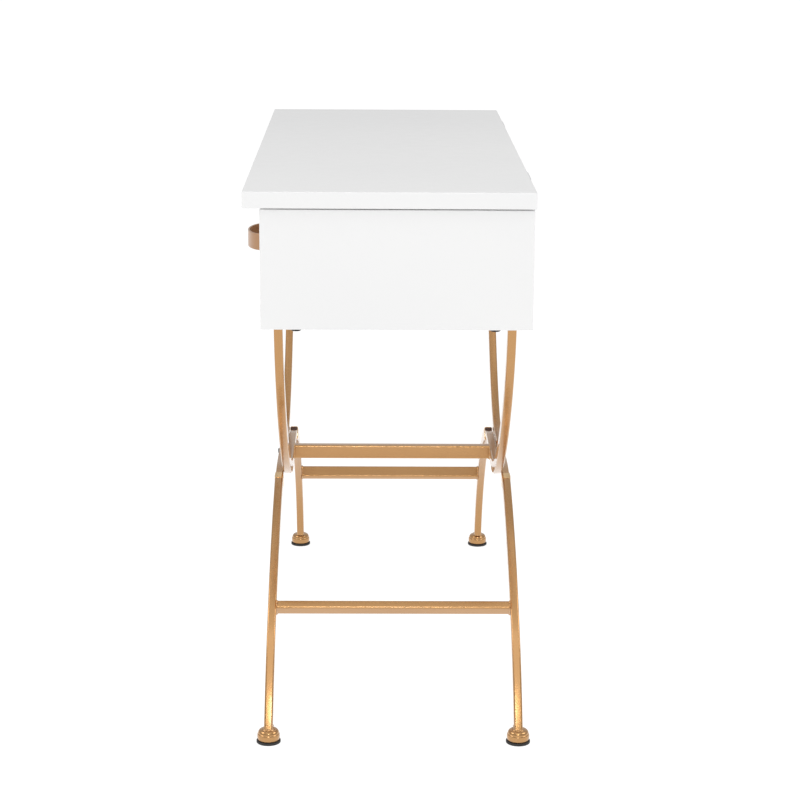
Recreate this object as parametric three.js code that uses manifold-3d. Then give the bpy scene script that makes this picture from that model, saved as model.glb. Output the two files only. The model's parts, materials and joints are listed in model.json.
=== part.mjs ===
// Vanity table with a flip-up mirror lid, one wide drawer and a pair of crossed, bowed leg frames.
// Millimetres, +Z up, the front towards -Y, +X to the right of someone sitting at the table.
// The origin is on the floor, at the middle of the whole table's footprint.

import * as THREE from 'three';
import { mergeVertices } from 'three/addons/utils/BufferGeometryUtils.js';
import Module from 'manifold-3d';

const wasm = await Module();
wasm.setup();

// ---------------------------------------------------------------- driving dimensions

const TOP_WIDTH = 1020;
const TOP_DEPTH = 400;
const TOP_THICKNESS = 23;
const TABLE_HEIGHT = 807;

const LID_GAP = 2;
const CASE_HEIGHT = 166.2;
const CASE_END_INSET = 6;
const CASE_FRONT_INSET = 23.5;
const CASE_REAR_INSET = 2;
const END_THICKNESS = 16;
const FRONT_THICKNESS = 18;
const BACK_THICKNESS = 12;
const BOTTOM_THICKNESS = 12;
const FLOOR_THICKNESS = 8;
const FASCIA_HEIGHT = 78;
const DIVIDER_THICKNESS = 9;
const DIVIDER_HEIGHT = 46;
const WELL_WIDTH = 520;
const BUMPER_RADIUS = 5;
const BUMPER_INSET = 40;

const REVEAL = 2;
const DRAWER_SIDE_THICKNESS = 12;
const DRAWER_SIDE_HEIGHT = 62;
const DRAWER_LENGTH = 330;
const DRAWER_BOTTOM_THICKNESS = 5;
const DRAWER_LIFT = 4;

const RUNNER_SPACE = 13;
const RUNNER_LENGTH = 318;
const RUNNER_SHEET = 1.3;
const RUNNER_HEIGHT = 35;
const RUNNER_SETBACK = 6;
const OUTER_RUNNER_REACH = 10;
const MIDDLE_RUNNER_REACH = 6;
const INNER_RUNNER_REACH = 5.5;
const MIDDLE_RUNNER_OFFSET = 4;
const MIDDLE_RUNNER_TRIM = 3;
const INNER_RUNNER_TRIM = 7;

const HANDLE_CHORD = 112;
const HANDLE_REACH = 44;
const HANDLE_BOW = 28;
const HANDLE_BAND = 26;
const HANDLE_SHEET = 3;
const HANDLE_RISE = 0.8;

const MIRROR_WIDTH = 640;
const MIRROR_DEPTH = 310;
const MIRROR_THICKNESS = 4;
const RAIL_SHEET = 2;
const RAIL_LIP = 8;

const HINGE_LENGTH = 76;
const HINGE_SPREAD = 640;
const HINGE_SHEET = 1.5;
const KNUCKLE_RADIUS = 3;
const HINGE_PIN_RADIUS = 1.4;
const KNUCKLE_COUNT = 5;
const KNUCKLE_OVERLAP = 1;
const WEB_BITE = 0.5;
const CASE_LEAF_HEIGHT = 34;
const LID_LEAF_HEIGHT = 18;

const TUBE_WIDTH = 12.7;
const TUBE_DEPTH = 21;
const UPPER_JOINT_REACH = 30;
const LOWER_JOINT_REACH = 140;
const JOINT_INSERT = 12;
const JOINT_BAR_WIDTH = 11.4;
const JOINT_BAR_DEPTH = 11;
const INNER_LEG_SPACING = 328.4;
const OUTER_LEG_SPACING = 354.6;
const INNER_TOP_SPLAY = 2;
const INNER_FOOT_SPLAY = 1;
const OUTER_TOP_SPLAY = 0;
const OUTER_FOOT_SPLAY = 3.5;
const SPLAY_START = 15;
const LEG_OFFSET = 9.7;
const LEG_TOP_HALF_SPAN = 397;
const LEG_FOOT_HALF_SPAN = 476;
const CROSSING_HEIGHT = 308.5;
const UPPER_FLAT = 75;
const UPPER_BEND = 125;
const LOWER_FLAT = 90;
const LOWER_BEND = 120;
const FOOT_BEND = 165;
const FOOT_LEAN = THREE.MathUtils.degToRad(18);
const LOW_STRETCHER_STATION = 0.623;
const CENTRE_STRETCHER_DEPTH = 16;
const CENTRE_STRETCHER_HEIGHT = 22;
const TRIM_REACH = 60;

const PAD_RADIUS = 17.5;
const PAD_HEIGHT = 4;
const KNOB_RADIUS = 16.5;
const KNOB_NECK_RADIUS = 11;
const KNOB_HEIGHT = 17;

const PLATE_LENGTH = 176;
const PLATE_WIDTH = 48;
const PLATE_THICKNESS = 3;
const PLATE_MARGIN = 2;
const PLATE_BOLT_INWARD = 28;
const PLATE_BOLT_OUTWARD = 73;
const PLATE_BOLT_RADIUS = 8;
const PLATE_BOLT_HEAD = 4.5;
const PLATE_BOLT_CROWN = 2;

const CROSSING_BOLT_RADIUS = 3;
const CROSSING_BOLT_HEAD_RADIUS = 4.2;
const CROSSING_WASHER_RADIUS = 5;
const CROSSING_BOLT_HEAD = 1.6;
const CROSSING_BOLT_GRIP = 22;
const CROSSING_BORE_SPARE = 2;

const FIT = 0.3;
const ROUND_SIDES = 20;
const SMALL_SIDES = 12;
const HEX_SIDES = 6;
const BOW_SEGMENTS = 24;
const LEG_STEPS = 46;
const WELD_DISTANCE = 1e-4;

// ---------------------------------------------------------------- sizes worked out from them

const hingeReach = HINGE_SHEET + FIT + 2 * KNUCKLE_RADIUS - KNUCKLE_OVERLAP;
const handleOverhang = HANDLE_REACH - CASE_FRONT_INSET;
const footReach = LEG_OFFSET + OUTER_LEG_SPACING / 2 + OUTER_FOOT_SPLAY + PAD_RADIUS;
const rearReach = Math.max(TOP_DEPTH / 2 + hingeReach, footReach);
const topY = (TOP_DEPTH / 2 + handleOverhang - rearReach) / 2;
const topFrontY = topY - TOP_DEPTH / 2;
const topRearY = topY + TOP_DEPTH / 2;
const topUnderZ = TABLE_HEIGHT - TOP_THICKNESS;
const caseTopZ = topUnderZ - LID_GAP;
const caseUnderZ = caseTopZ - CASE_HEIGHT;
const caseHalfWidth = TOP_WIDTH / 2 - CASE_END_INSET;
const insideHalfWidth = caseHalfWidth - END_THICKNESS;
const caseFrontY = topFrontY + CASE_FRONT_INSET;
const caseRearY = topRearY - CASE_REAR_INSET;
const legY = topY + LEG_OFFSET;
const fasciaUnderZ = caseTopZ - FASCIA_HEIGHT;
const frontInnerY = caseFrontY + FRONT_THICKNESS;
const backInnerY = caseRearY - BACK_THICKNESS;
const hingeY = topRearY + hingeReach - KNUCKLE_RADIUS;
const hingeZ = caseTopZ + LID_GAP / 2;
const drawerFrontUnderZ = caseUnderZ + REVEAL;
const drawerFrontTopZ = fasciaUnderZ - REVEAL;
const drawerUnderZ = caseUnderZ + BOTTOM_THICKNESS + DRAWER_LIFT;
const drawerRearY = frontInnerY + DRAWER_LENGTH;
const drawerHalfWidth = insideHalfWidth - RUNNER_SPACE;
const footTopZ = PAD_HEIGHT + KNOB_HEIGHT;

// ---------------------------------------------------------------- materials

function finish(color, roughness, metalness) {
  return () => new THREE.MeshStandardMaterial({ color, roughness, metalness });
}

const whiteLacquer = finish('#f3f3f3', 0.42, 0.0);
const goldMetal = finish('#c8975b', 0.34, 0.9);
const roseGold = finish('#b58a66', 0.36, 0.9);
const blackRubber = finish('#161616', 0.8, 0.0);
const blackSteel = finish('#1d1d1d', 0.5, 0.6);
const zincSteel = finish('#b9bcc0', 0.38, 0.9);
const mirrorSilver = finish('#e8ecef', 0.03, 1.0);
const drawerBoard = finish('#eceae6', 0.6, 0.0);

// ---------------------------------------------------------------- helpers

function solidOf(geometry) {
  const bare = geometry.clone();
  bare.deleteAttribute('normal');
  bare.deleteAttribute('uv');
  const merged = mergeVertices(bare, WELD_DISTANCE);
  return new wasm.Manifold(new wasm.Mesh({
    numProp: 3,
    vertProperties: Float32Array.from(merged.attributes.position.array),
    triVerts: Uint32Array.from(merged.index.array),
  }));
}

function geometryOf(solid) {
  const mesh = solid.getMesh();
  const geometry = new THREE.BufferGeometry();
  const corners = Float32Array.from(mesh.vertProperties);
  geometry.setAttribute('position', new THREE.BufferAttribute(corners, 3));
  geometry.setIndex(new THREE.BufferAttribute(Uint32Array.from(mesh.triVerts), 1));
  geometry.computeVertexNormals();
  return geometry;
}

function cut(geometry, ...tools) {
  let solid = solidOf(geometry);
  for (const tool of tools) {
    solid = solid.subtract(solidOf(tool));
  }
  return geometryOf(solid);
}

function join(geometry, ...others) {
  let solid = solidOf(geometry);
  for (const other of others) {
    solid = solid.add(solidOf(other));
  }
  return geometryOf(solid);
}

// A block between two corners, given in any order.
function block(x0, x1, y0, y1, z0, z1) {
  const geometry = new THREE.BoxGeometry(Math.abs(x1 - x0), Math.abs(y1 - y0), Math.abs(z1 - z0));
  geometry.translate((x0 + x1) / 2, (y0 + y1) / 2, (z0 + z1) / 2);
  return geometry;
}

// A round bar along Y, between two ends in any order.
function barAlongY(radius, x, y0, y1, z, sides = SMALL_SIDES) {
  const geometry = new THREE.CylinderGeometry(radius, radius, Math.abs(y1 - y0), sides);
  geometry.translate(x, (y0 + y1) / 2, z);
  return geometry;
}

// A round bar along X.
function barAlongX(radius, x0, x1, y, z, sides = SMALL_SIDES) {
  const geometry = new THREE.CylinderGeometry(radius, radius, x1 - x0, sides);
  geometry.rotateZ(Math.PI / 2);
  geometry.translate((x0 + x1) / 2, y, z);
  return geometry;
}

// A turned piece that stands on Z, from [radius, height] pairs that start and end on the axis.
function turned(profile, sides = ROUND_SIDES) {
  const points = profile.map(([radius, height]) => new THREE.Vector2(radius, height));
  const geometry = new THREE.LatheGeometry(points, sides);
  geometry.rotateX(Math.PI / 2);
  return geometry;
}

// A flat outline in the X-Z plane, pulled along Y.
function pulledAlongY(outline, y0, y1) {
  const shape = new THREE.Shape(outline.map(([x, z]) => new THREE.Vector2(x, z)));
  const geometry = new THREE.ExtrudeGeometry(shape, { depth: y1 - y0, bevelEnabled: false });
  geometry.rotateX(Math.PI / 2);
  geometry.translate(0, y1, 0);
  return geometry;
}

function piece(name, geometry, material, parent) {
  const mesh = new THREE.Mesh(geometry, material());
  mesh.name = name;
  parent.add(mesh);
  return mesh;
}

const SIDES = [['left', -1], ['right', 1]];
const FRAMES = [['front', -1], ['rear', 1]];

// ---------------------------------------------------------------- legs and stretchers

// An inner leg has its upper end on the right (side = 1), an outer leg on the left.
const INNER_LEG = {
  side: 1,
  spacing: INNER_LEG_SPACING,
  topSplay: INNER_TOP_SPLAY,
  footSplay: INNER_FOOT_SPLAY,
};
const OUTER_LEG = {
  side: -1,
  spacing: OUTER_LEG_SPACING,
  topSplay: OUTER_TOP_SPLAY,
  footSplay: OUTER_FOOT_SPLAY,
};

// How far the legs of a pair have spread outwards at a height, each on its own side.
function splayAt(leg, z) {
  const rise = z - CROSSING_HEIGHT;
  const splay = rise > 0 ? leg.topSplay : leg.footSplay;
  const reach = rise > 0 ? caseUnderZ - CROSSING_HEIGHT : CROSSING_HEIGHT - footTopZ;
  return splay * Math.max(0, Math.abs(rise) - SPLAY_START) / (reach - SPLAY_START);
}

function legMiddleY(leg, sign, z = CROSSING_HEIGHT) {
  return legY + sign * (leg.spacing / 2 + splayAt(leg, z));
}

// One leg: from the plate under the case, down a bow to the crossing, level through it, and
// down a second bow to the foot on the other side.
function legPath(side, y) {
  const at = (x, z) => new THREE.Vector3(side * x, y, z);
  const topZ = caseUnderZ - PLATE_THICKNESS / 2;
  const footZ = footTopZ - TUBE_DEPTH / 2;
  const leanX = FOOT_BEND * Math.sin(FOOT_LEAN);
  const leanZ = FOOT_BEND * Math.cos(FOOT_LEAN);
  const path = new THREE.CurvePath();
  path.add(new THREE.CubicBezierCurve3(
    at(LEG_TOP_HALF_SPAN, topZ),
    at(LEG_TOP_HALF_SPAN, topZ - UPPER_BEND),
    at(UPPER_FLAT + UPPER_BEND, CROSSING_HEIGHT),
    at(UPPER_FLAT, CROSSING_HEIGHT),
  ));
  path.add(new THREE.LineCurve3(at(UPPER_FLAT, CROSSING_HEIGHT), at(-LOWER_FLAT, CROSSING_HEIGHT)));
  path.add(new THREE.CubicBezierCurve3(
    at(-LOWER_FLAT, CROSSING_HEIGHT),
    at(-LOWER_FLAT - LOWER_BEND, CROSSING_HEIGHT),
    at(-LEG_FOOT_HALF_SPAN + leanX, footZ + leanZ),
    at(-LEG_FOOT_HALF_SPAN, footZ),
  ));
  return path;
}

function barSection(width, depth) {
  const shape = new THREE.Shape();
  shape.moveTo(-width / 2, -depth / 2);
  shape.lineTo(width / 2, -depth / 2);
  shape.lineTo(width / 2, depth / 2);
  shape.lineTo(-width / 2, depth / 2);
  shape.closePath();
  return shape;
}

function pulledAlongLeg(side, y, width, depth) {
  return solidOf(new THREE.ExtrudeGeometry(barSection(width, depth), {
    steps: LEG_STEPS,
    bevelEnabled: false,
    extrudePath: legPath(side, y),
  }));
}

// A tube above and a tube below the crossing, with a thinner bar between that is let into both. The
// tubes are trimmed level above the foot and below the plate, the bar is bored for the crossing bolt,
// and the whole leg is then leaned outwards above and below the crossing.
function legGeometry(leg, sign) {
  const { side } = leg;
  const y = legMiddleY(leg, sign);
  const slab = (x0, x1, z0, z1) => block(x0, x1, y - TRIM_REACH, y + TRIM_REACH, z0, z1);
  const joint = (extra) => solidOf(slab(
    -side * (LOWER_JOINT_REACH + extra),
    side * (UPPER_JOINT_REACH + extra),
    CROSSING_HEIGHT - TRIM_REACH,
    CROSSING_HEIGHT + TRIM_REACH,
  ));
  const footX = -side * LEG_FOOT_HALF_SPAN;
  const topX = side * LEG_TOP_HALF_SPAN;
  const trimZ = caseUnderZ - PLATE_THICKNESS - 2 * FIT;
  const tubes = pulledAlongLeg(side, y, TUBE_WIDTH, TUBE_DEPTH).subtract(joint(0));
  const bar = pulledAlongLeg(side, y, JOINT_BAR_WIDTH, JOINT_BAR_DEPTH).intersect(joint(JOINT_INSERT));
  const geometry = cut(
    geometryOf(tubes.add(bar)),
    slab(footX - TRIM_REACH, footX + TRIM_REACH, -TRIM_REACH, footTopZ + FIT),
    slab(topX - TRIM_REACH, topX + TRIM_REACH, trimZ, trimZ + TRIM_REACH),
    barAlongY(CROSSING_BOLT_RADIUS + FIT, 0, y - TUBE_WIDTH, y + TUBE_WIDTH, CROSSING_HEIGHT),
  );
  const corners = geometry.getAttribute('position');
  for (let i = 0; i < corners.count; i += 1) {
    corners.setY(i, corners.getY(i) + sign * splayAt(leg, corners.getZ(i)));
  }
  geometry.computeVertexNormals();
  return geometry;
}

function addFoot(name, x, y, parent) {
  const edge = 1;
  const shoulder = KNOB_HEIGHT * 0.45;
  const shoulderTop = KNOB_HEIGHT - edge;
  const steps = 5;
  const profile = [[0, 0], [KNOB_RADIUS, 0]];
  for (let i = 0; i <= steps; i += 1) {
    const angle = (i / steps) * (Math.PI / 2);
    const radius = KNOB_NECK_RADIUS + (KNOB_RADIUS - KNOB_NECK_RADIUS) * Math.cos(angle);
    profile.push([radius, shoulder + (shoulderTop - shoulder) * Math.sin(angle)]);
  }
  profile.push([KNOB_NECK_RADIUS, KNOB_HEIGHT], [0, KNOB_HEIGHT]);
  piece(`${name}_foot`, turned(profile), goldMetal, parent).position.set(x, y, PAD_HEIGHT);
  const padTop = PAD_HEIGHT - FIT;
  const rim = PAD_RADIUS - edge;
  const pad = turned([[0, 0], [rim, 0], [PAD_RADIUS, edge], [PAD_RADIUS, padTop], [0, padTop]]);
  piece(`${name}_foot_pad`, pad, blackRubber, parent).position.set(x, y, 0);
}

// The plate on top of a leg lies against the case, and reaches inwards past the leg to its bolts.
function addPlate(name, side, y, inward, parent) {
  const x = side * LEG_TOP_HALF_SPAN;
  const topZ = caseUnderZ - FIT;
  const underZ = topZ - PLATE_THICKNESS;
  const outerY = y - inward * (TUBE_WIDTH / 2 + PLATE_MARGIN);
  const innerY = outerY + inward * PLATE_WIDTH;
  const plate = block(x - PLATE_LENGTH / 2, x + PLATE_LENGTH / 2, outerY, innerY, underZ, topZ);
  piece(`${name}_leg_plate`, plate, goldMetal, parent);
  const crownRadius = PLATE_BOLT_RADIUS * 0.7;
  const head = turned([
    [0, 0],
    [crownRadius, 0],
    [PLATE_BOLT_RADIUS, PLATE_BOLT_CROWN],
    [PLATE_BOLT_RADIUS, PLATE_BOLT_HEAD],
    [0, PLATE_BOLT_HEAD],
  ]);
  const bolt = piece(`${name}_plate_bolt`, head, blackSteel, parent);
  const boltX = x + side * PLATE_BOLT_OUTWARD;
  const boltY = y + inward * PLATE_BOLT_INWARD;
  bolt.position.set(boltX, boltY, underZ - FIT - PLATE_BOLT_HEAD);
}

// The bolt goes in from outside, through the outer bar, a washer and the inner bar, into the end of the
// centre stretcher.
function addCrossingBolt(name, sign, innerY, outerY, tipY, parent) {
  const clear = JOINT_BAR_WIDTH / 2 + FIT;
  const faceY = outerY + sign * clear;
  const headY = faceY + sign * CROSSING_BOLT_HEAD;
  const shank = barAlongY(CROSSING_BOLT_RADIUS, 0, faceY, tipY, CROSSING_HEIGHT);
  const head = barAlongY(CROSSING_BOLT_HEAD_RADIUS, 0, headY, faceY, CROSSING_HEIGHT, HEX_SIDES);
  piece(`${name}_crossing_bolt`, join(shank, head), blackSteel, parent);
  const washer = cut(
    barAlongY(CROSSING_WASHER_RADIUS, 0, innerY + sign * clear, outerY - sign * clear, CROSSING_HEIGHT),
    barAlongY(CROSSING_BOLT_RADIUS + FIT, 0, innerY, outerY, CROSSING_HEIGHT),
  );
  piece(`${name}_crossing_washer`, washer, blackSteel, parent);
}

function addCentreStretcher(reach, parent) {
  const boreDepth = CROSSING_BOLT_GRIP + CROSSING_BORE_SPARE;
  const halfDepth = CENTRE_STRETCHER_DEPTH / 2;
  const underZ = CROSSING_HEIGHT - CENTRE_STRETCHER_HEIGHT / 2;
  const topZ = underZ + CENTRE_STRETCHER_HEIGHT;
  const bar = block(-halfDepth, halfDepth, legY - reach, legY + reach, underZ, topZ);
  const bores = [-1, 1].map((sign) => barAlongY(
    CROSSING_BOLT_RADIUS + FIT,
    0,
    legY + sign * (reach - boreDepth),
    legY + sign * (reach + FIT),
    CROSSING_HEIGHT,
  ));
  piece('centre_stretcher', cut(bar, ...bores), goldMetal, parent);
}

// The stretcher between one pair of lower legs follows their slope where it meets them. The legs
// stand closest together at its upper edge, so its length is taken there.
function addLowStretcher(name, leg, parent) {
  const lowerBow = legPath(leg.side, legY).curves[2];
  const along = lowerBow.getTangentAt(LOW_STRETCHER_STATION);
  const middle = lowerBow.getPointAt(LOW_STRETCHER_STATION);
  const reach = legMiddleY(leg, 1, middle.z + TUBE_DEPTH / 2) - legY - TUBE_WIDTH / 2 - FIT;
  const shape = new THREE.BoxGeometry(TUBE_WIDTH, 2 * reach, TUBE_DEPTH);
  const bar = piece(`${name}_stretcher`, shape, goldMetal, parent);
  bar.position.copy(middle);
  bar.rotation.y = Math.atan2(-along.z, along.x);
}

function addBase(parent) {
  const stretcherReach = INNER_LEG_SPACING / 2 - JOINT_BAR_WIDTH / 2 - FIT;
  for (const [frame, sign] of FRAMES) {
    const innerY = legMiddleY(INNER_LEG, sign);
    const outerY = legMiddleY(OUTER_LEG, sign);
    const tipY = legY + sign * (stretcherReach - CROSSING_BOLT_GRIP);
    piece(`${frame}_inner_leg`, legGeometry(INNER_LEG, sign), goldMetal, parent);
    piece(`${frame}_outer_leg`, legGeometry(OUTER_LEG, sign), goldMetal, parent);
    addFoot(`${frame}_left`, -LEG_FOOT_HALF_SPAN, legMiddleY(INNER_LEG, sign, footTopZ), parent);
    addFoot(`${frame}_right`, LEG_FOOT_HALF_SPAN, legMiddleY(OUTER_LEG, sign, footTopZ), parent);
    addPlate(`${frame}_right`, 1, legMiddleY(INNER_LEG, sign, caseUnderZ), -sign, parent);
    addPlate(`${frame}_left`, -1, legMiddleY(OUTER_LEG, sign, caseUnderZ), -sign, parent);
    addCrossingBolt(frame, sign, innerY, outerY, tipY, parent);
  }
  addCentreStretcher(stretcherReach, parent);
  addLowStretcher('left', INNER_LEG, parent);
  addLowStretcher('right', OUTER_LEG, parent);
}

// ---------------------------------------------------------------- case

function addCase(parent) {
  const board = (name, ...corners) => piece(name, block(...corners), whiteLacquer, parent);
  const half = insideHalfWidth - FIT;
  const bottomTopZ = caseUnderZ + BOTTOM_THICKNESS;
  const floorTopZ = fasciaUnderZ + FLOOR_THICKNESS;
  const inFrontY = frontInnerY + FIT;
  const inRearY = backInnerY - FIT;
  const bumperHeight = LID_GAP - 2 * FIT;
  board('back_panel', -half, half, backInnerY, caseRearY, caseUnderZ, caseTopZ);
  board('bottom_panel', -half, half, inFrontY, inRearY, caseUnderZ, bottomTopZ);
  board('front_fascia', -half, half, caseFrontY, frontInnerY, fasciaUnderZ, caseTopZ);
  board('compartment_floor', -half, half, inFrontY, inRearY, fasciaUnderZ, floorTopZ);
  for (const [name, side] of SIDES) {
    const outer = side * caseHalfWidth;
    const inner = side * insideHalfWidth;
    board(`${name}_end_panel`, outer, inner, caseFrontY, caseRearY, caseUnderZ, caseTopZ);
    const near = side * (WELL_WIDTH - DIVIDER_THICKNESS) / 2;
    const far = side * (WELL_WIDTH + DIVIDER_THICKNESS) / 2;
    board(`${name}_divider`, near, far, inFrontY, inRearY, floorTopZ + FIT, floorTopZ + DIVIDER_HEIGHT);
    const dot = turned([[0, 0], [BUMPER_RADIUS, 0], [BUMPER_RADIUS, bumperHeight], [0, bumperHeight]]);
    const bumper = piece(`${name}_lid_bumper`, dot, blackRubber, parent);
    const bumperX = side * (insideHalfWidth - BUMPER_INSET);
    bumper.position.set(bumperX, caseFrontY + FRONT_THICKNESS / 2, caseTopZ + FIT);
  }
}

// ---------------------------------------------------------------- drawer runners

// A channel that opens towards the middle (opens = -1) or the end panel (opens = +1) on the right side.
function channel(side, webX, opens, reach, halfHeight, y0, y1) {
  const z = drawerUnderZ + DRAWER_SIDE_HEIGHT / 2;
  const back = webX;
  const face = webX + opens * RUNNER_SHEET;
  const lip = webX + opens * reach;
  const outline = [
    [back, z - halfHeight], [lip, z - halfHeight], [lip, z - halfHeight + RUNNER_SHEET],
    [face, z - halfHeight + RUNNER_SHEET], [face, z + halfHeight - RUNNER_SHEET],
    [lip, z + halfHeight - RUNNER_SHEET], [lip, z + halfHeight], [back, z + halfHeight],
  ].map(([x, height]) => [side * x, height]);
  return pulledAlongY(outline, y0, y1);
}

function addRunners(caseParent, middleParent, drawerParent) {
  const y0 = frontInnerY + RUNNER_SETBACK;
  const y1 = y0 + RUNNER_LENGTH;
  const half = RUNNER_HEIGHT / 2;
  const middleHalf = half - MIDDLE_RUNNER_TRIM;
  const innerHalf = half - INNER_RUNNER_TRIM;
  for (const [name, side] of SIDES) {
    const outer = channel(side, insideHalfWidth - FIT, -1, OUTER_RUNNER_REACH, half, y0, y1);
    const middleWeb = insideHalfWidth - MIDDLE_RUNNER_OFFSET;
    const middle = channel(side, middleWeb, -1, MIDDLE_RUNNER_REACH, middleHalf, y0, y1);
    const inner = channel(side, drawerHalfWidth + FIT, 1, INNER_RUNNER_REACH, innerHalf, y0, y1);
    piece(`${name}_runner_outer`, outer, zincSteel, caseParent);
    piece(`${name}_runner_middle`, middle, zincSteel, middleParent);
    piece(`${name}_runner_inner`, inner, zincSteel, drawerParent);
  }
}

// ---------------------------------------------------------------- drawer

// A flat strap bent into a bow: two straight ends that stand on the drawer front, and half an oval between.
function bowHandle() {
  const half = HANDLE_CHORD / 2;
  const innerHalf = half - HANDLE_SHEET;
  const straight = HANDLE_REACH - HANDLE_BOW;
  const shape = new THREE.Shape();
  shape.moveTo(half, FIT);
  shape.lineTo(half, straight);
  shape.absellipse(0, straight, half, HANDLE_BOW, 0, Math.PI, false, 0);
  shape.lineTo(-half, FIT);
  shape.lineTo(-innerHalf, FIT);
  shape.lineTo(-innerHalf, straight);
  shape.absellipse(0, straight, innerHalf, HANDLE_BOW - HANDLE_SHEET, Math.PI, 0, true, 0);
  shape.lineTo(innerHalf, FIT);
  shape.closePath();
  const strap = new THREE.ExtrudeGeometry(shape, {
    depth: HANDLE_BAND,
    bevelEnabled: false,
    curveSegments: BOW_SEGMENTS,
  });
  strap.rotateZ(Math.PI);
  const middleZ = (drawerFrontUnderZ + drawerFrontTopZ) / 2 + HANDLE_RISE;
  strap.translate(0, caseFrontY, middleZ - HANDLE_BAND / 2);
  return strap;
}

function addDrawer(parent) {
  const board = (name, ...corners) => piece(name, block(...corners), drawerBoard, parent);
  const frontHalf = insideHalfWidth - REVEAL;
  const sideInner = drawerHalfWidth - DRAWER_SIDE_THICKNESS;
  const boxFrontY = frontInnerY + FIT;
  const backFrontY = drawerRearY - DRAWER_SIDE_THICKNESS;
  const topZ = drawerUnderZ + DRAWER_SIDE_HEIGHT;
  const bottomTopZ = drawerUnderZ + DRAWER_BOTTOM_THICKNESS;
  const inside = sideInner - FIT;
  const front = block(-frontHalf, frontHalf, caseFrontY, frontInnerY, drawerFrontUnderZ, drawerFrontTopZ);
  piece('drawer_front', front, whiteLacquer, parent);
  for (const [name, side] of SIDES) {
    const outer = side * drawerHalfWidth;
    const inner = side * sideInner;
    board(`drawer_${name}_side`, outer, inner, boxFrontY, drawerRearY, drawerUnderZ, topZ);
  }
  board('drawer_back', -inside, inside, backFrontY, drawerRearY, drawerUnderZ, topZ);
  board('drawer_bottom', -inside, inside, boxFrontY, backFrontY - FIT, drawerUnderZ, bottomTopZ);
  piece('bow_handle', bowHandle(), roseGold, parent);
}

// ---------------------------------------------------------------- lid, mirror and hinges

function addMirror(parent) {
  const half = MIRROR_WIDTH / 2;
  const glassTop = topUnderZ - FIT;
  const glassUnder = glassTop - MIRROR_THICKNESS;
  const middleY = (frontInnerY + backInnerY) / 2;
  const y0 = middleY - MIRROR_DEPTH / 2;
  const y1 = middleY + MIRROR_DEPTH / 2;
  piece('mirror_glass', block(-half, half, y0, y1, glassUnder, glassTop), mirrorSilver, parent);
  const lipUnder = glassUnder - FIT - RAIL_SHEET;
  for (const [name, sign, edge] of [['front', -1, y0], ['rear', 1, y1]]) {
    const nearY = edge + sign * FIT;
    const farY = nearY + sign * RAIL_SHEET;
    const rail = join(
      block(-half, half, nearY, farY, lipUnder, glassTop),
      block(-half, half, edge - sign * RAIL_LIP, farY, lipUnder, lipUnder + RAIL_SHEET),
    );
    piece(`mirror_${name}_rail`, rail, goldMetal, parent);
  }
}

// The ends of one leaf's knuckles: every second length of the barrel.
function knuckles(x, first) {
  const pitch = HINGE_LENGTH / KNUCKLE_COUNT;
  const lengths = [];
  for (let i = first; i < KNUCKLE_COUNT; i += 2) {
    const x0 = x - HINGE_LENGTH / 2 + i * pitch + FIT / 2;
    lengths.push([x0, x0 + pitch - FIT]);
  }
  return lengths;
}

function leafGeometry(x, first, sheetY, sheetZ0, sheetZ1) {
  const spans = knuckles(x, first);
  const nearZ = sheetZ1 < hingeZ ? sheetZ1 : sheetZ0;
  const webZ0 = Math.min(nearZ, hingeZ) - WEB_BITE;
  const webZ1 = Math.max(nearZ, hingeZ) + WEB_BITE;
  const halfLength = HINGE_LENGTH / 2;
  const sheet = block(x - halfLength, x + halfLength, sheetY, sheetY + HINGE_SHEET, sheetZ0, sheetZ1);
  const webs = spans.map(([x0, x1]) => block(x0, x1, sheetY, hingeY, webZ0, webZ1));
  const barrels = spans.map(([x0, x1]) => barAlongX(KNUCKLE_RADIUS, x0, x1, hingeY, hingeZ));
  const bore = barAlongX(HINGE_PIN_RADIUS + FIT, x - HINGE_LENGTH, x + HINGE_LENGTH, hingeY, hingeZ);
  return cut(join(sheet, ...webs, ...barrels), bore);
}

function addHinges(caseParent, lidParent) {
  const clear = KNUCKLE_RADIUS + FIT;
  for (const [name, side] of SIDES) {
    const x = side * HINGE_SPREAD / 2;
    const caseLeaf = leafGeometry(x, 0, caseRearY + FIT, hingeZ - clear - CASE_LEAF_HEIGHT, hingeZ - clear);
    const lidLeaf = leafGeometry(x, 1, topRearY + FIT, hingeZ + clear, hingeZ + clear + LID_LEAF_HEIGHT);
    const pin = barAlongX(HINGE_PIN_RADIUS, x - HINGE_LENGTH / 2, x + HINGE_LENGTH / 2, hingeY, hingeZ);
    piece(`${name}_hinge_case_leaf`, caseLeaf, zincSteel, caseParent);
    piece(`${name}_hinge_pin`, pin, zincSteel, caseParent);
    piece(`${name}_hinge_lid_leaf`, lidLeaf, zincSteel, lidParent);
  }
}

function addLid(parent) {
  const half = TOP_WIDTH / 2;
  const lid = block(-half, half, topFrontY, topRearY, topUnderZ, TABLE_HEIGHT);
  piece('lid_panel', lid, whiteLacquer, parent);
  addMirror(parent);
}

// ---------------------------------------------------------------- the whole table

const table = new THREE.Group();
const base = new THREE.Group();
const lid = new THREE.Group();
const drawer = new THREE.Group();
const runnerMiddles = new THREE.Group();
table.add(base, lid, drawer, runnerMiddles);
addBase(base);
addCase(base);
addLid(lid);
addDrawer(drawer);
addRunners(base, runnerMiddles, drawer);
addHinges(base, lid);

export default table;
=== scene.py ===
"""Vanity table with a flip-up mirror lid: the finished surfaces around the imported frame.

Metres, +Z up, the front towards -Y. Every place comes from the frame's own node boxes. A few sizes that
a box can't give, such as a corner radius or the bend of a leg, are the named values below.
"""

import json
import math

import bmesh
import bpy
from mathutils import Matrix, Vector


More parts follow.
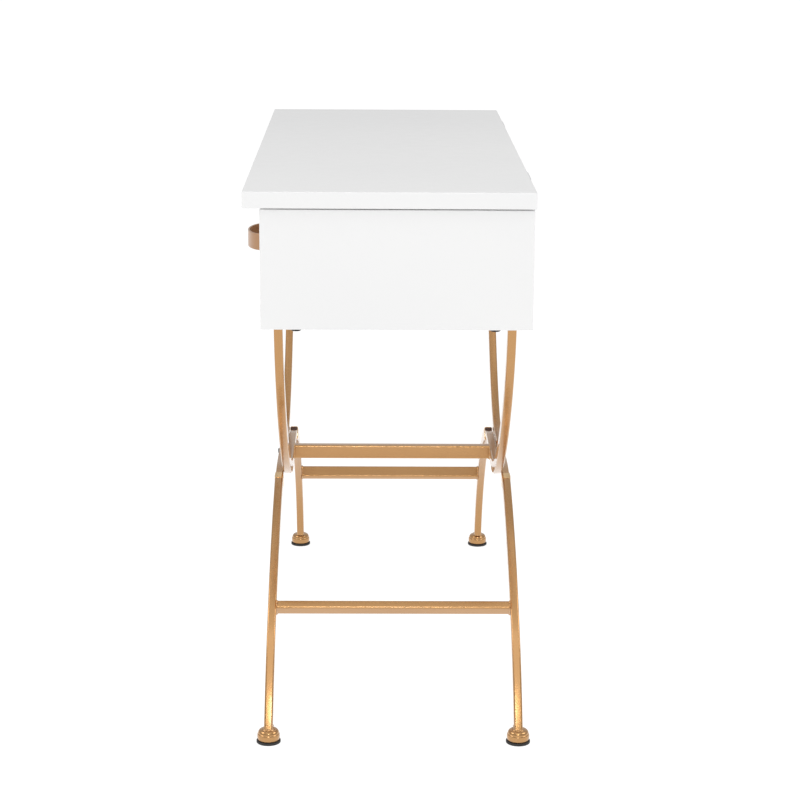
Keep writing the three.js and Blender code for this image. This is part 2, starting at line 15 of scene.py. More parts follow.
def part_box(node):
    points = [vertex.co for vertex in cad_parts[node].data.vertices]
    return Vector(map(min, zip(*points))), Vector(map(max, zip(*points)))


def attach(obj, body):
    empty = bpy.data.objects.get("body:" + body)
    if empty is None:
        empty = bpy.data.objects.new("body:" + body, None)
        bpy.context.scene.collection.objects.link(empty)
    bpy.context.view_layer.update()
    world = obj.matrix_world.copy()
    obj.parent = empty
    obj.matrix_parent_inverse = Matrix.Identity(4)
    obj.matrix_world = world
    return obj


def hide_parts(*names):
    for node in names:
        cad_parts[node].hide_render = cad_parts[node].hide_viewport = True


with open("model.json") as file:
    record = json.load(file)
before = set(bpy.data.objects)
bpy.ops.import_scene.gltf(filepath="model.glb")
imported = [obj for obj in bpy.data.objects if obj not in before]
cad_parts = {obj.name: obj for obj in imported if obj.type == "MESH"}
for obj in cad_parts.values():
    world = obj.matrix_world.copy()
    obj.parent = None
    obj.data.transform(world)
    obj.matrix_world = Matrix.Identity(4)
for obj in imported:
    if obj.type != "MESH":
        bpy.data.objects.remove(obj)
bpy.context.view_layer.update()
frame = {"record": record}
BODY_OF = {node: body for body, nodes in frame["record"]["behaviour"]["bodies"].items() for node in nodes}

MM = 0.001
SIDES = (("left", -1), ("right", 1))
FRAMES = (("front", -1), ("rear", 1))

# ---------------------------------------------------------------- named sizes

PANEL_EDGE = 1.3 * MM
BOARD_EDGE = 0.7 * MM
SHEET_EDGE = 0.35 * MM

TUBE_WIDTH = 12.7 * MM
TUBE_DEPTH = 21 * MM
TUBE_CORNER = 2.6 * MM
UPPER_JOINT_REACH = 30 * MM
LOWER_JOINT_REACH = 140 * MM
JOINT_INSERT = 5 * MM
JOINT_BAR_WIDTH = 11.4 * MM
JOINT_BAR_DEPTH = 11 * MM
JOINT_BAR_CORNER = 1.2 * MM
UPPER_FLAT = 75 * MM
UPPER_BEND = 125 * MM
LOWER_FLAT = 90 * MM
LOWER_BEND = 120 * MM
FOOT_BEND = 165 * MM
FOOT_LEAN = math.radians(18)
SPLAY_START = 15 * MM
UPPER_STEPS = 60
FLAT_STEPS = 6
LOWER_STEPS = 80
FINE_STEPS = 400

LOW_STRETCHER_STATION = 0.623
CENTRE_STRETCHER_DEPTH = 16 * MM
CENTRE_STRETCHER_HEIGHT = 22 * MM
STRETCHER_SINK = 0.3 * MM
COLLAR_LENGTH = 16 * MM
COLLAR_SWELL = 0.6 * MM
COLLAR_STEPS = 12
# The thin sheet on a tube's end, painted dark as the shade in the tube's hollow.
END_SHADE_THICKNESS = 0.5 * MM
END_SHADE_INSET = 0.5 * MM

WELD_SIZE = 1.7 * MM
FOOT_WELD_SIZE = 0.8 * MM
PLATE_WELD_SIZE = WELD_SIZE * 1.2
WELD_STEP = 1.2 * MM
WELD_RIPPLES = 11

CROSSING_BOLT_RADIUS = 3 * MM
CROSSING_BOLT_HEAD = 1.6 * MM
CROSSING_WASHER_FIT = 0.3 * MM
CROSSING_WASHER_EASE = 0.3 * MM

PLATE_CORNER = 8 * MM
PLATE_EDGE = 0.5 * MM
PLATE_MARGIN = 2 * MM
PLATE_BOLT_RADIUS = 8 * MM
PLATE_BOLT_HEAD = 4.5 * MM
PLATE_WASHER_RADIUS = 9.5 * MM
PLATE_WASHER_TOP_RADIUS = 9 * MM
PLATE_WASHER_RIM = 0.8 * MM
PLATE_WASHER_HEIGHT = 1 * MM

FOOT_STEPS = 10
FOOT_SIDES = 64
FOOT_SHOULDER = 0.7 * MM
PAD_EASE = 0.9 * MM
PAD_HOLLOW = 0.5 * MM
BUMPER_STEPS = 6

CAM_COVER_RADIUS = 7.5 * MM
CASE_CAM_RISE = 26 * MM
CASE_CAM_INSET = 50 * MM
DRAWER_CAM_RISES = (14 * MM, -12 * MM)
DRAWER_CAM_INSET = 24 * MM

HANDLE_SHEET = 3 * MM
HANDLE_BOW = 28 * MM
HANDLE_CORNER = 0.9 * MM
HANDLE_END_STEPS = 6
HANDLE_BOW_STEPS = 72
TAB_LENGTH = 17 * MM
TAB_HEIGHT_SHARE = 0.78
TAB_CORNER = 3 * MM
TAB_SHEET = 1.6 * MM
TAB_SCREW_SHIFT = 2 * MM
TAB_SCREW_RADIUS = 3 * MM
TAB_SCREW_HEIGHT = 1 * MM

RUNNER_SHEET = 1.3 * MM
RUNNER_BEND = 2.2 * MM
OUTER_RUNNER_SCREW_INSET = 24 * MM
INNER_RUNNER_SCREW_INSET = 40 * MM
CAGE_HALF_WIDTH = 1.6 * MM
CAGE_HALF_SHEET = 0.25 * MM
CAGE_NEAR = 20 * MM
CAGE_FAR = 120 * MM
OUTER_CAGE_BALLS = 9
INNER_CAGE_BALLS = 7
BALL_ASIDE = 1.0 * MM
BALL_SHARE = 0.47

MIRROR_SLOPE = 9 * MM
MIRROR_RIM = 1.4 * MM
RAIL_SHEET = 2 * MM
RAIL_BEND = 2.6 * MM
RAIL_LIP_EASE = 0.6 * MM

HINGE_SHEET = 1.5 * MM
LEAF_CORNER = 4 * MM
LEAF_CLEARANCE = 0.3 * MM
KNUCKLE_RADIUS = 3 * MM
KNUCKLE_BORE = 1.7 * MM
KNUCKLE_COUNT = 5
KNUCKLE_GAP = 0.3 * MM
KNUCKLE_EASE = 0.25 * MM
WEB_EASE = 0.2 * MM
WEB_KNUCKLE_LAP = 0.4 * MM
WEB_LEAF_LAP = 0.5 * MM
PIN_EASE = 0.4 * MM
HINGE_SCREW_RISE = 0.55
HINGE_SCREW_SPREAD = 0.72
HINGE_SCREW_RADIUS = 3.2 * MM
HINGE_SCREW_HEIGHT = 0.9 * MM

SCREW_RADIUS = 3.4 * MM
SCREW_HEIGHT = 1.1 * MM

# The camera's place is in metres: its Y counts from the middle of the lid.
CAMERA_LENS = 98.74
CAMERA_SENSOR = 36
CAMERA_PLACE = (3.4490, -0.0226, 1.2389)
CAMERA_PITCH = math.radians(13.766)
CAMERA_YAW = math.radians(0.746)
CAMERA_ROLL = math.radians(0.375)

WORLD_STRENGTH = 0.65
FLOOR_RADIUS = 400
FLOOR_TONE = (0.35, 0.35, 0.35)
FLOOR_GLOW = 2.25

# Each softbox: name, place, the point that it faces, width and height, radiance.
SOFTBOXES = (
    ("behind_camera", (4.7, 0.0, 2.3), (0.4, 0, 0.5), (0.5, 1.4), 12.0),
    ("high_near_end", (2.9, 0.0, 3.1), (0.4, 0, 0.6), (2.4, 2.0), 0.75),
    ("overhead", (0.9, 0.0, 3.4), (0.5, 0, 0.8), (2.6, 2.6), 0.4),
    ("high_front", (0.7, -2.4, 2.3), (0.2, 0, 0.8), (1.2, 1.2), 4.0),
    ("high_rear", (0.7, 2.4, 2.3), (0.2, 0, 0.8), (1.2, 1.2), 4.0),
)

X = Vector((1, 0, 0))
Y = Vector((0, 1, 0))
Z = Vector((0, 0, 1))


# ---------------------------------------------------------------- materials

class Finish:
    """A Principled material with helpers for the few nodes that the finishes share."""

    def __init__(self, name, **fixed):
        self.material = bpy.data.materials.new(name)
        self.material.use_nodes = True
        self.nodes = self.material.node_tree.nodes
        self.shader = self.nodes["Principled BSDF"]
        self.place = self.add("ShaderNodeTexCoord").outputs["Object"]
        for socket, value in fixed.items():
            self.shader.inputs[socket.replace("_", " ")].default_value = value

    def add(self, kind, **settings):
        node = self.nodes.new(kind)
        for key, value in settings.items():
            setattr(node, key, value)
        return node

    def link(self, output, target):
        self.material.node_tree.links.new(output, target)

    def noise(self, scale, detail=3.0, stretch=(1, 1, 1), roughness=0.5):
        """Noise over the object's own place, scale in features per metre."""
        mapping = self.add("ShaderNodeMapping")
        mapping.inputs["Scale"].default_value = stretch
        self.link(self.place, mapping.inputs["Vector"])
        noise = self.add("ShaderNodeTexNoise")
        noise.inputs["Scale"].default_value = scale
        noise.inputs["Detail"].default_value = detail
        noise.inputs["Roughness"].default_value = roughness
        self.link(mapping.outputs["Vector"], noise.inputs["Vector"])
        return noise.outputs["Fac"]

    def spread(self, value, low, high, start=0.3, end=0.7):
        """A value between start and end, spread over low to high."""
        spread = self.add("ShaderNodeMapRange")
        for socket, number in (("From Min", start), ("From Max", end), ("To Min", low), ("To Max", high)):
            spread.inputs[socket].default_value = number
        self.link(value, spread.inputs["Value"])
        return spread.outputs["Result"]

    def mix(self, factor, first, second):
        """Colours or colour sockets, mixed by a factor socket."""
        mix = self.add("ShaderNodeMix", data_type="RGBA")
        self.link(factor, mix.inputs["Factor"])
        for socket, colour in ((mix.inputs[6], first), (mix.inputs[7], second)):
            if isinstance(colour, tuple):
                socket.default_value = (*colour, 1)
            else:
                self.link(colour, socket)
        return mix.outputs[2]

    def edge_wear_and_highlight(self, radius, start=0.02, end=0.25):
        """1 on an outer edge, 0 on a flat face: a mask for wear where hands and cloths rub, and for a painted
        highlight along the edges.
        """
        bevel = self.add("ShaderNodeBevel", samples=6)
        bevel.inputs["Radius"].default_value = radius
        geometry = self.add("ShaderNodeNewGeometry")
        dot = self.add("ShaderNodeVectorMath", operation="DOT_PRODUCT")
        self.link(bevel.outputs["Normal"], dot.inputs[0])
        self.link(geometry.outputs["Normal"], dot.inputs[1])
        return self.spread(dot.outputs["Value"], 1, 0, 1 - end, 1 - start)

    def colour(self, output):
        self.link(output, self.shader.inputs["Base Color"])

    def rough(self, output):
        self.link(output, self.shader.inputs["Roughness"])

    def bump(self, height, strength, distance):
        bump = self.add("ShaderNodeBump")
        bump.inputs["Strength"].default_value = strength
        bump.inputs["Distance"].default_value = distance
        self.link(height, bump.inputs["Height"])
        self.link(bump.outputs["Normal"], self.shader.inputs["Normal"])


def white_lacquer():
    """Sprayed satin lacquer: a faint orange peel, and tone that drifts a little over a whole panel."""
    f = Finish("white_lacquer", IOR=1.48, Coat_Weight=0.15, Coat_Roughness=0.22)
    drift = f.spread(f.noise(2.2, 2), 0, 1)
    tone = f.mix(drift, (0.808, 0.808, 0.806), (0.782, 0.783, 0.785))
    f.colour(f.mix(f.edge_wear_and_highlight(1.2 * MM), tone, (0.83, 0.828, 0.82)))
    f.rough(f.spread(f.noise(46, 3), 0.30, 0.40))
    f.bump(f.noise(620, 2), 0.05, 0.15 * MM)
    return f.material


def drawer_board():
    """Matt white foil on board, with a fine straight grain pressed along its length."""
    f = Finish("drawer_board", IOR=1.45)
    grain = f.noise(90, 4, stretch=(0.6, 0.6, 9))
    f.colour(f.mix(f.spread(grain, 0, 1), (0.80, 0.79, 0.765), (0.735, 0.725, 0.70)))
    f.rough(f.spread(f.noise(30, 2), 0.52, 0.66))
    f.bump(grain, 0.12, 0.15 * MM)
    return f.material


def satin_metal(name, face, deep, edge, roughness, metallic=1.0, **fixed):
    """Plated metal: fine satin speckle, soft blotches, and edges painted brighter: a painted highlight."""
    f = Finish(name, Metallic=metallic, **fixed)
    tone = f.mix(f.spread(f.noise(9, 3), 0, 1), face, deep)
    # The edge colour is painted brighter than the face: a painted highlight along the corners.
    f.colour(f.mix(f.edge_wear_and_highlight(1.6 * MM), tone, edge))
    f.rough(f.spread(f.noise(60, 2), roughness - 0.012, roughness + 0.012))
    f.bump(f.noise(900, 2), 0.012, 0.02 * MM)
    return f.material


def gold_metal():
    # The third colour is a painted highlight on the tube's edges.
    return satin_metal("gold_metal", (0.500, 0.272, 0.104), (0.475, 0.255, 0.095), (0.62, 0.38, 0.18), 0.25,
                       Coat_Weight=0.7, Coat_Roughness=0.1)


def weld_painted_bright():
    """Gold plate over a bead, painted paler and brighter than the tube: a painted highlight."""
    return satin_metal("weld_painted_bright", (0.80, 0.56, 0.31), (0.75, 0.52, 0.28), (0.90, 0.70, 0.44), 0.2)


def painted_end_shade():
    """Dark brown and matt, over the end of a solid tube: painted shade for an open tube's hollow end."""
    f = Finish("painted_end_shade", IOR=1.48)
    f.colour(f.mix(f.spread(f.noise(400, 2), 0, 1), (0.135, 0.088, 0.078), (0.11, 0.072, 0.065)))
    f.rough(f.spread(f.noise(250, 2), 0.5, 0.62))
    f.bump(f.noise(1500, 2), 0.1, 0.05 * MM)
    return f.material


def handle_metal():
    # The third colour is a painted highlight on the handle's edges.
    return satin_metal("handle_metal", (0.44, 0.245, 0.130), (0.41, 0.228, 0.119), (0.62, 0.40, 0.26), 0.32,
                       metallic=0.55, Coat_Weight=0.25, Coat_Roughness=0.2)


def black_steel():
    """Black oxide on steel, rubbed paler on its corners."""
    f = Finish("black_steel", Metallic=0.6)
    tone = f.mix(f.spread(f.noise(300, 3), 0, 1), (0.012, 0.012, 0.013), (0.022, 0.021, 0.021))
    f.colour(f.mix(f.edge_wear_and_highlight(0.6 * MM), tone, (0.09, 0.085, 0.08)))
    f.rough(f.spread(f.noise(500, 2), 0.36, 0.52))
    f.bump(f.noise(1800, 2), 0.12, 0.05 * MM)
    return f.material


def zinc_steel():
    """Bright zinc plate: pale, faintly crystalline, a little yellow in places."""
    f = Finish("zinc_steel", Metallic=1.0)
    cells = f.add("ShaderNodeTexVoronoi", feature="F1")
    cells.inputs["Scale"].default_value = 170
    f.link(f.place, cells.inputs["Vector"])
    patch = f.spread(cells.outputs["Distance"], 0, 1, 0.1, 0.8)
    f.colour(f.mix(patch, (0.62, 0.63, 0.645), (0.54, 0.545, 0.54)))
    f.rough(f.spread(f.noise(140, 3), 0.26, 0.38))
    f.bump(f.noise(700, 3, stretch=(1, 0.1, 1)), 0.10, 0.05 * MM)
    return f.material


def rubber():
    """Moulded rubber with a fine pebble, dustier where it is proud."""
    f = Finish("rubber", IOR=1.5)
    pebble = f.noise(1400, 2)
    f.colour(f.mix(f.spread(pebble, 0, 1), (0.014, 0.014, 0.015), (0.034, 0.033, 0.032)))
    f.rough(f.spread(f.noise(200, 2), 0.62, 0.8))
    f.bump(pebble, 0.35, 0.1 * MM)
    return f.material


def mirror_glass():
    """Silvered glass: almost no colour of its own, with a trace of haze."""
    f = Finish("mirror_glass", Metallic=1.0, Coat_Weight=1.0, Coat_Roughness=0.01)
    f.colour(f.mix(f.spread(f.noise(3, 2), 0, 1), (0.885, 0.905, 0.90), (0.865, 0.89, 0.885)))
    f.rough(f.spread(f.noise(14, 4), 0.008, 0.03))
    return f.material


FINISHES = {make.__name__: make() for make in (
    white_lacquer, drawer_board, gold_metal, weld_painted_bright, painted_end_shade, handle_metal, black_steel, zinc_steel,
    rubber, mirror_glass,
)}


# ---------------------------------------------------------------- mesh helpers

def piece(name, bm, finish, stands_for=(), body=None, smooth_under=38):
    """Makes a piece from a bmesh: its finish, its body, and the CAD nodes that it stands for."""
    bmesh.ops.recalc_face_normals(bm, faces=bm.faces)
    mesh = bpy.data.meshes.new(name)
    bm.to_mesh(mesh)
    bm.free()
    for polygon in mesh.polygons:
        polygon.use_smooth = True
    mesh.set_sharp_from_angle(angle=math.radians(smooth_under))
    mesh.materials.append(FINISHES[finish])
    obj = bpy.data.objects.new(name, mesh)
    bpy.context.scene.collection.objects.link(obj)
    obj.modifiers.new("face_weighted", "WEIGHTED_NORMAL").keep_sharp = True
    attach(obj, body or BODY_OF[stands_for[0]])
    if stands_for:
        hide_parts(*stands_for)


def middle(node):
    low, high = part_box(node)
    return (low + high) / 2


def upright(node):
    """The middle of a round node's underside, its radius and its height."""
    low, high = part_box(node)
    return Vector(((low.x + high.x) / 2, (low.y + high.y) / 2, low.z)), (high.x - low.x) / 2, high.z - low.z


def soften(bm, verts, radius, segments):
    """Rounds every edge between the given vertices."""
    edges = {edge for vert in verts for edge in vert.link_edges}
    bmesh.ops.bevel(bm, geom=list(edges), offset=radius, segments=segments, profile=0.5, affect="EDGES",
                    clamp_overlap=True)


def add_block(bm, low, high, radius=0.0, segments=3):
    """A block between two corners, its edges rounded."""
    made = bmesh.ops.create_cube(bm, size=1)["verts"]
    centre, size = (low + high) / 2, high - low
    for vert in made:
        vert.co = centre + Vector(vert.co[i] * size[i] for i in range(3))
    if radius:
        soften(bm, made, radius, segments)


def loft(bm, rings, closed=False):
    """A skin over rings of points, with end caps, or joined end to end."""
    rows = [[bm.verts.new(point) for point in ring] for ring in rings]
    count = len(rows[0])
    last = len(rows) if closed else len(rows) - 1
    for i in range(last):
        near, far = rows[i], rows[(i + 1) % len(rows)]
        for j in range(count):
            k = (j + 1) % count
            bm.faces.new((near[j], near[k], far[k], far[j]))
    if not closed:
        bm.faces.new(rows[0][::-1])
        bm.faces.new(rows[-1])


def heading(line, i):
    """The way that a line of points goes at its point i."""
    return (line[min(i + 1, len(line) - 1)] - line[max(i - 1, 0)]).normalized()


def towards(outward):
    """A rotation that turns local +Z to outward."""
    return Vector(outward).to_track_quat("Z", "Y").to_matrix()


def add_turned(bm, profile, at, outward=Z, sides=48):
    """A turned piece from (radius, height) pairs. A first or last radius of zero closes it on the axis."""
    turn = towards(outward)
    rows = []
    for radius, height in profile:
        if radius < 1e-7:
            rows.append([bm.verts.new(at + turn @ Vector((0, 0, height)))])
            continue
        ring = []
        for i in range(sides):
            angle = 2 * math.pi * i / sides
            ring.append(bm.verts.new(
                at + turn @ Vector((radius * math.cos(angle), radius * math.sin(angle), height))))
        rows.append(ring)
    for near, far in zip(rows, rows[1:]):
        for i in range(sides):
            j = (i + 1) % sides
            corners = [near[i % len(near)], near[j % len(near)], far[j % len(far)], far[i % len(far)]]
            bm.faces.new(list(dict.fromkeys(corners)))


def add_ring(bm, start, end, centre, along, bore, radius, ease, sides=32):
    """A short pipe along X or Y round the centre, from start to end, with eased rims."""
    section = [(bore, start + ease), (bore + ease, start), (radius - ease, start), (radius, start + ease),
               (radius, end - ease), (radius - ease, end), (bore + ease, end), (bore, end - ease)]
    across = Y if along == X else X
    foot = centre - along * centre.dot(along)
    rings = []
    for i in range(sides):
        angle = 2 * math.pi * i / sides
        out = across * math.cos(angle) + Z * math.sin(angle)
        rings.append([foot + out * r + along * place for r, place in section])
    loft(bm, rings, closed=True)


def arc(radius, start, end, steps, centre=(0, 0)):
    """Points on an arc, angles in degrees."""
    points = []
    for i in range(steps + 1):
        angle = math.radians(start + (end - start) * i / steps)
        points.append((centre[0] + radius * math.cos(angle), centre[1] + radius * math.sin(angle)))
    return points


def rounded_rectangle(width, depth, radius, steps=4):
    """A rectangle round the origin with round corners, anticlockwise."""
    points = []
    for turn, (sx, sy) in enumerate(((1, 1), (-1, 1), (-1, -1), (1, -1))):
        corner = (sx * (width / 2 - radius), sy * (depth / 2 - radius))
        points += arc(radius, 90 * turn, 90 * turn + 90, steps, corner)
    return points


def add_sheet(bm, outline, at, outward, thickness, edge=SHEET_EDGE):
    """A flat sheet of the outline's shape, its outer rim eased. at is the middle of its near face."""
    other = outward.cross(X)
    rings = []
    eased = edge * 0.3
    for height, inset in ((0, 0), (thickness - edge, 0), (thickness - eased, eased), (thickness, edge)):
        ring = []
        for a, b in outline:
            shrink = 1 - inset / math.hypot(a, b)
            ring.append(at + X * a * shrink + other * b * shrink + outward * height)
        rings.append(ring)
    loft(bm, rings)


def cross_socket(radius):
    """The outline of a cross-head recess."""
    arm, half = radius * 0.62, radius * 0.17
    return [(arm, -half), (arm, half), (half, half), (half, arm), (-half, arm), (-half, half),
            (-arm, half), (-arm, -half), (-half, -half), (-half, -arm), (half, -arm), (half, -half)]


def hex_socket(radius):
    return arc(radius * 0.52, 0, 300, 5)


def add_fastener(bm, at, outward, radius, height, socket, sides=28):
    """A domed head on the surface at `at`, with a real recess of the socket's outline in its top."""
    turn = towards(outward)

    def ring(points, z):
        return [bm.verts.new(at + turn @ Vector((a, b, z))) for a, b in points]

    levels = ((radius * 0.97, 0), (radius, height * 0.18), (radius * 0.97, height * 0.5),
              (radius * 0.88, height * 0.8), (radius * 0.74, height))
    rows = [ring(arc(r, 0, 360 - 360 / sides, sides - 1), z) for r, z in levels]
    for near, far in zip(rows, rows[1:]):
        for i in range(sides):
            j = (i + 1) % sides
            bm.faces.new((near[i], near[j], far[j], far[i]))
    bm.faces.new(rows[0][::-1])
    mouth = ring(socket, height)
    bottom = ring(socket, height * 0.35)
    count = len(mouth)
    rims = []
    for loop in (rows[-1], mouth):
        for i in range(len(loop)):
            ends = (loop[i], loop[(i + 1) % len(loop)])
            rims.append(bm.edges.get(ends) or bm.edges.new(ends))
    bmesh.ops.triangle_fill(bm, use_beauty=True, edges=rims)
    for i in range(count):
        j = (i + 1) % count
        bm.faces.new((mouth[i], mouth[j], bottom[j], bottom[i]))
    bm.faces.new(bottom)


def screws(name, body, places, outward, finish="zinc_steel", radius=SCREW_RADIUS, height=SCREW_HEIGHT):
    """Cross-head screws at several places, as one piece."""
    bm = bmesh.new()
    for place in places:
        add_fastener(bm, Vector(place), outward, radius, height, cross_socket(radius))
    piece(name, bm, finish, body=body)


def panel(node, finish="white_lacquer", edge=PANEL_EDGE):
    """A board that fills its CAD node's box, with rounded arrises."""
    low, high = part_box(node)
    bm = bmesh.new()
    add_block(bm, low, high, edge)
    piece(f"{node}_board", bm, finish, (node,))


# ---------------------------------------------------------------- legs

case_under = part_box("bottom_panel")[0].z
plate_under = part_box("front_right_leg_plate")[0].z
foot_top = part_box("front_right_foot")[1].z
top_span = middle("front_right_leg_plate").x
foot_span = middle("front_right_foot").x
crossing_z = middle("centre_stretcher").z


def bow_line(bow, steps):
    """Points along a bow, a Bezier curve of four control points, both ends included."""
    a, b, c, d = bow
    line = []
    for i in range(steps + 1):
        t = i / steps
        s = 1 - t
        line.append(s ** 3 * a + 3 * s * s * t * b + 3 * s * t * t * c + t ** 3 * d)
    return line


def leg_bows(side):
    """The control points of a leg's two bows in X and Z, from the top down. side is the X side of its top."""
    def at(x, z):
        return Vector((side * x, z))
    top_z = (case_under + plate_under) / 2
    foot_z = foot_top - TUBE_DEPTH / 2
    lean = Vector((FOOT_BEND * math.sin(FOOT_LEAN), FOOT_BEND * math.cos(FOOT_LEAN)))
    upper = (at(top_span, top_z), at(top_span, top_z - UPPER_BEND),
             at(UPPER_FLAT + UPPER_BEND, crossing_z), at(UPPER_FLAT, crossing_z))
    lower = (at(-LOWER_FLAT, crossing_z), at(-LOWER_FLAT - LOWER_BEND, crossing_z),
             at(-foot_span + lean.x, foot_z + lean.y), at(-foot_span, foot_z))
    return upper, lower


def leg_line(side):
    """The middle line of a leg in X and Z, from its plate to its foot."""
    upper, lower = leg_bows(side)
    flat = [upper[3].lerp(lower[0], i / FLAT_STEPS) for i in range(1, FLAT_STEPS)]
    return bow_line(upper, UPPER_STEPS) + flat + bow_line(lower, LOWER_STEPS)


def add_leg_length(bm, line, y, width, depth, corner, cuts):
    """A bar with rounded corners along the line, cut off flat.
    Each cut is a point, and the direction in which everything beyond it is taken away."""
    section = rounded_rectangle(width, depth, corner)
    rings = []
    for i, point in enumerate(line):
        along = heading(line, i)
        ring = []
        for a, b in section:
            spot = point + Vector((-along.y, along.x)) * b
            ring.append(Vector((spot.x, y + a, spot.y)))
        rings.append(ring)
    part = bmesh.new()
    loft(part, rings)
    for place, away in cuts:
        whole = list(part.verts) + list(part.edges) + list(part.faces)
        bmesh.ops.bisect_plane(part, geom=whole, plane_co=place, plane_no=away, clear_outer=True)
        rim = [edge for edge in part.edges if edge.is_boundary]
        bmesh.ops.holes_fill(part, edges=rim, sides=0)
    mesh = bpy.data.meshes.new("leg_length")
    part.to_mesh(mesh)
    part.free()
    bm.from_mesh(mesh)
    bpy.data.meshes.remove(mesh)


def lean_out(bm, y, top_y, foot_y):
    """Leans a leg built at y, from just above and just below the crossing to its two ends."""
    for vert in bm.verts:
        rise = vert.co.z - crossing_z
        end_y, reach = (top_y, case_under - crossing_z) if rise > 0 else (foot_y, crossing_z - foot_top)
        vert.co.y += (end_y - y) * max(0, abs(rise) - SPLAY_START) / (reach - SPLAY_START)


def leg_ends(leg_node):
    """The names of the plate and of the foot at the two ends of a leg."""
    frame_name, kind = leg_node.split("_")[:2]
    top_side, foot_side = ("right", "left") if kind == "inner" else ("left", "right")
    return f"{frame_name}_{top_side}_leg_plate", f"{frame_name}_{foot_side}_foot"


def leg_top(leg_node, sign):
    """Where the middle of a leg's upper end is in Y: its plate sticks out past it by the margin."""
    low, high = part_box(leg_ends(leg_node)[0])
    return (high.y if sign > 0 else low.y) - sign * (PLATE_MARGIN + TUBE_WIDTH / 2)


def leg_foot(leg_node):
    """Where the middle of a leg's lower end is in Y."""
    return middle(leg_ends(leg_node)[1]).y


def add_collar(bm, y, side):
    """The bead round the end of a lower tube, where the thinner bar goes in. Its finish has a painted
    highlight.
    """
    line = bow_line(leg_bows(side)[1], FINE_STEPS)
    spot = min(line, key=lambda point: abs(abs(point.x) - LOWER_JOINT_REACH))
    along = (line[line.index(spot) + 1] - spot).normalized()
    rings = []
    for i in range(COLLAR_STEPS + 1):
        angle = math.pi * i / COLLAR_STEPS
        swell = COLLAR_SWELL * math.sin(angle)
        place = spot + along * COLLAR_LENGTH * (1 - math.cos(angle)) / 2
        outline = rounded_rectangle(TUBE_WIDTH + 2 * swell, TUBE_DEPTH + 2 * swell, TUBE_CORNER + swell)
        rings.append([Vector((place.x - along.y * b, y + a, place.y + along.x * b)) for a, b in outline])
    loft(bm, rings)


def add_end_shade(bm, line, y, side):
    """A thin dark sheet on the end of a lower tube, round the bar: painted shade for the tube's hollow end.
    """
    x = -side * LOWER_JOINT_REACH
    z = min(line, key=lambda point: abs(point.x - x)).y
    section = rounded_rectangle(TUBE_WIDTH - 2 * END_SHADE_INSET, TUBE_DEPTH - 2 * END_SHADE_INSET,
                                TUBE_CORNER - END_SHADE_INSET)
    outline = [Vector((x, y + a, z + b)) for a, b in section]
    loft(bm, [[point + X * side * END_SHADE_THICKNESS * step for point in outline] for step in (-1, 1)])


def leg(name, side, sign):
    """An upper and a lower tube, cut level at the plate and the foot, and the thinner bar let into both.
    Away from the crossing the whole leg leans outwards, to the middle of its plate and of its foot."""
    node = f"{name}_leg"
    low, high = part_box(node)
    y = (low.y if sign > 0 else high.y) + sign * TUBE_WIDTH / 2
    line = leg_line(side)
    tube = (y, TUBE_WIDTH, TUBE_DEPTH, TUBE_CORNER)
    bar = (y, JOINT_BAR_WIDTH, JOINT_BAR_DEPTH, JOINT_BAR_CORNER)
    inwards = X * side
    above = inwards * UPPER_JOINT_REACH
    below = -inwards * LOWER_JOINT_REACH
    insert = inwards * JOINT_INSERT
    tubes, collar, end_shade = bmesh.new(), bmesh.new(), bmesh.new()
    add_leg_length(tubes, line, *tube, ((Z * plate_under, Z), (above, -inwards)))
    add_leg_length(tubes, line, *tube, ((Z * foot_top, -Z), (below, inwards)))
    add_leg_length(tubes, line, *bar, ((above + insert, inwards), (below - insert, -inwards)))
    add_collar(collar, y, side)
    add_end_shade(end_shade, line, y, side)
    for bm in (tubes, collar, end_shade):
        lean_out(bm, y, leg_top(node, sign), leg_foot(node))
    piece(f"{node}_tube", tubes, "gold_metal", (node,))
    # The collar's finish is painted bright: a painted highlight.
    piece(f"{name}_collar", collar, "weld_painted_bright", body=BODY_OF[node])
    # A dark sheet over the tube's end: painted shade.
    piece(f"{name}_end_shade_sheet", end_shade, "painted_end_shade", body=BODY_OF[node])


def add_weld(bm, outline, at, across, other, outward, size=WELD_SIZE):
    """A welder's bead round a tube's end: a small fillet with a ripple, where it meets the next piece."""
    outline = dense(outline)
    count = len(outline)
    rings = []
    for i in range(count):
        a, b = outline[i]
        before, after = outline[i - 1], outline[(i + 1) % count]
        normal = Vector((after[1] - before[1], before[0] - after[0])).normalized()
        ripple = 0.14 * math.sin(WELD_RIPPLES * 2 * math.pi * i / count)
        bead = size * (1 + ripple + 0.06 * math.sin(3.7 * i))
        ring = []
        for out, along in ((-0.35, -0.2), (1, -0.2), (0.92, 0.25), (0.55, 0.62), (0.2, 0.95), (-0.35, 1.05)):
            spot = Vector((a, b)) + normal * out * bead
            ring.append(at + across * spot.x + other * spot.y + outward * along * bead)
        rings.append(ring)
    loft(bm, rings, closed=True)


def dense(outline):
    """The outline with extra points, so that none are further apart than a weld's step."""
    points = []
    for i, here in enumerate(outline):
        there = outline[(i + 1) % len(outline)]
        pieces = max(1, math.ceil(math.dist(here, there) / WELD_STEP))
        for k in range(pieces):
            points.append(tuple(Vector(here).lerp(Vector(there), k / pieces)))
    return points


def stretcher(node, along, width, height):
    """A tube between two legs, along Y. along is the direction of its width in X and Z."""
    low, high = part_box(node)
    centre = (low + high) / 2
    reach = (high.y - low.y) / 2 + STRETCHER_SINK
    across = Vector((along.x, 0, along.y))
    other = Vector((-along.y, 0, along.x))
    outline = rounded_rectangle(width, height, TUBE_CORNER)
    bm = bmesh.new()
    loft(bm, [[centre + across * a + other * b + Y * reach * end for a, b in outline] for end in (-1, 1)])
    piece(f"{node}_tube", bm, "gold_metal", (node,))
    bm = bmesh.new()
    for end in (-1, 1):
        add_weld(bm, outline, centre + Y * reach * end, across, other, -Y * end)
    piece(f"{node}_welds", bm, "gold_metal", body=BODY_OF[node])


